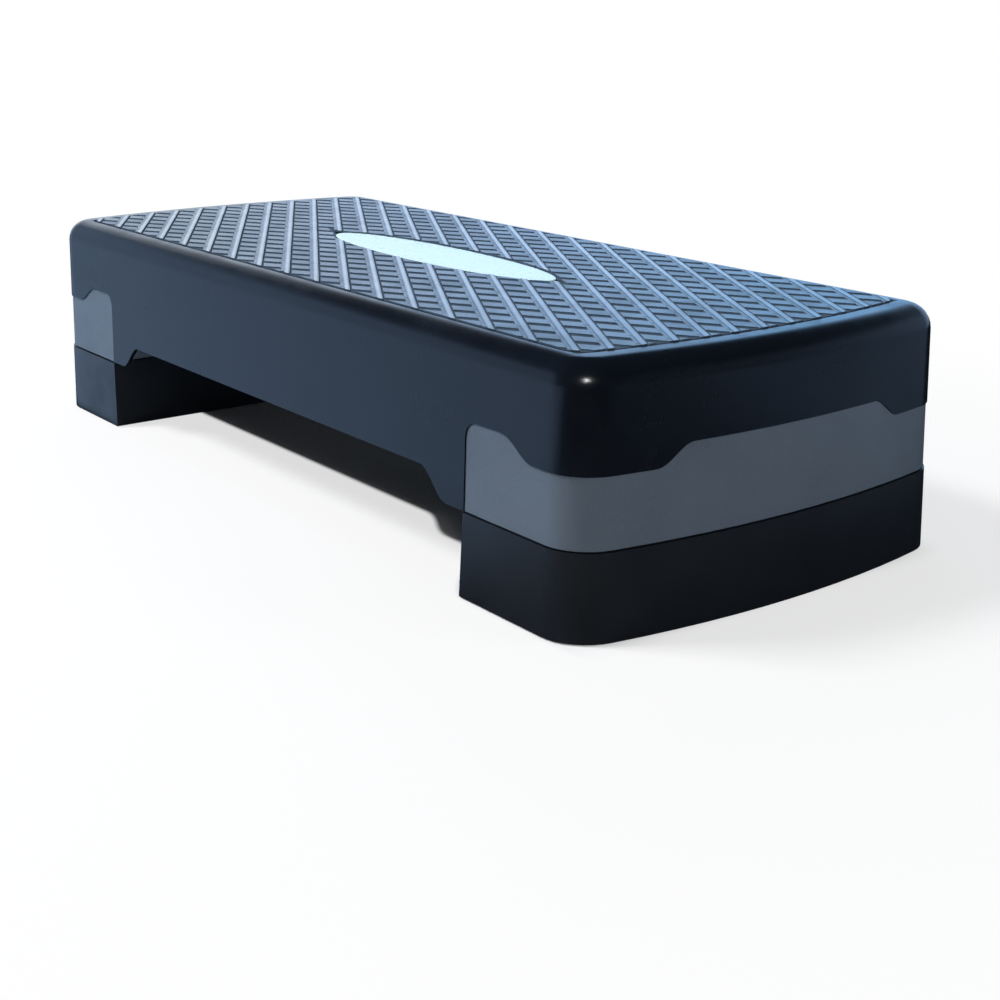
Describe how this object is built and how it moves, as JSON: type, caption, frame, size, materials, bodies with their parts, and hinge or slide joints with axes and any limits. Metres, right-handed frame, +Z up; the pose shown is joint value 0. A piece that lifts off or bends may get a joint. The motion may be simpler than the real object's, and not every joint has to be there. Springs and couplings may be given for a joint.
{
  "type": "aerobic step platform",
  "caption": "Low exercise step: ribbed non-slip deck with a wave-edged skirt, grey end blocks and lift-off black foot risers with rubber pads.",
  "frame": {"origin": "on the floor under the middle of the platform", "axes": "+X along the platform, +Y across it, +Z up"},
  "size_m": [0.68, 0.29, 0.15],
  "materials": {
    "deck_plastic": "satin moulded polypropylene, blue-black",
    "badge_plate": "pale mint film, glossy",
    "block_plastic": "satin moulded polypropylene, slate grey",
    "foot_plastic": "satin moulded polypropylene, black",
    "screw_steel": "zinc plated",
    "pad_rubber": "matt black rubber"
  },
  "bodies": {
    "platform": {"deck": "deck_plastic", "badge": "badge_plate", "end_block_left": "block_plastic", "end_block_right": "block_plastic", "block_screws_left": "screw_steel", "block_screws_right": "screw_steel", "block_pad_left_1": "pad_rubber", "block_pad_left_2": "pad_rubber", "block_pad_left_3": "pad_rubber", "block_pad_left_4": "pad_rubber", "block_pad_right_1": "pad_rubber", "block_pad_right_2": "pad_rubber", "block_pad_right_3": "pad_rubber", "block_pad_right_4": "pad_rubber"},
    "foot_left": {"foot_riser_left": "foot_plastic", "foot_pad_left_1": "pad_rubber", "foot_pad_left_2": "pad_rubber", "foot_pad_left_3": "pad_rubber", "foot_pad_left_4": "pad_rubber"},
    "foot_right": {"foot_riser_right": "foot_plastic", "foot_pad_right_1": "pad_rubber", "foot_pad_right_2": "pad_rubber", "foot_pad_right_3": "pad_rubber", "foot_pad_right_4": "pad_rubber"}
  },
  "joints": [
    {"name": "foot_left_lift", "type": "slide", "parent": "platform", "child": "foot_left", "axis": [0, 0, -1], "range_m": [0, 0.045]},
    {"name": "foot_right_lift", "type": "slide", "parent": "platform", "child": "foot_right", "axis": [0, 0, -1], "range_m": [0, 0.045]}
  ]
}
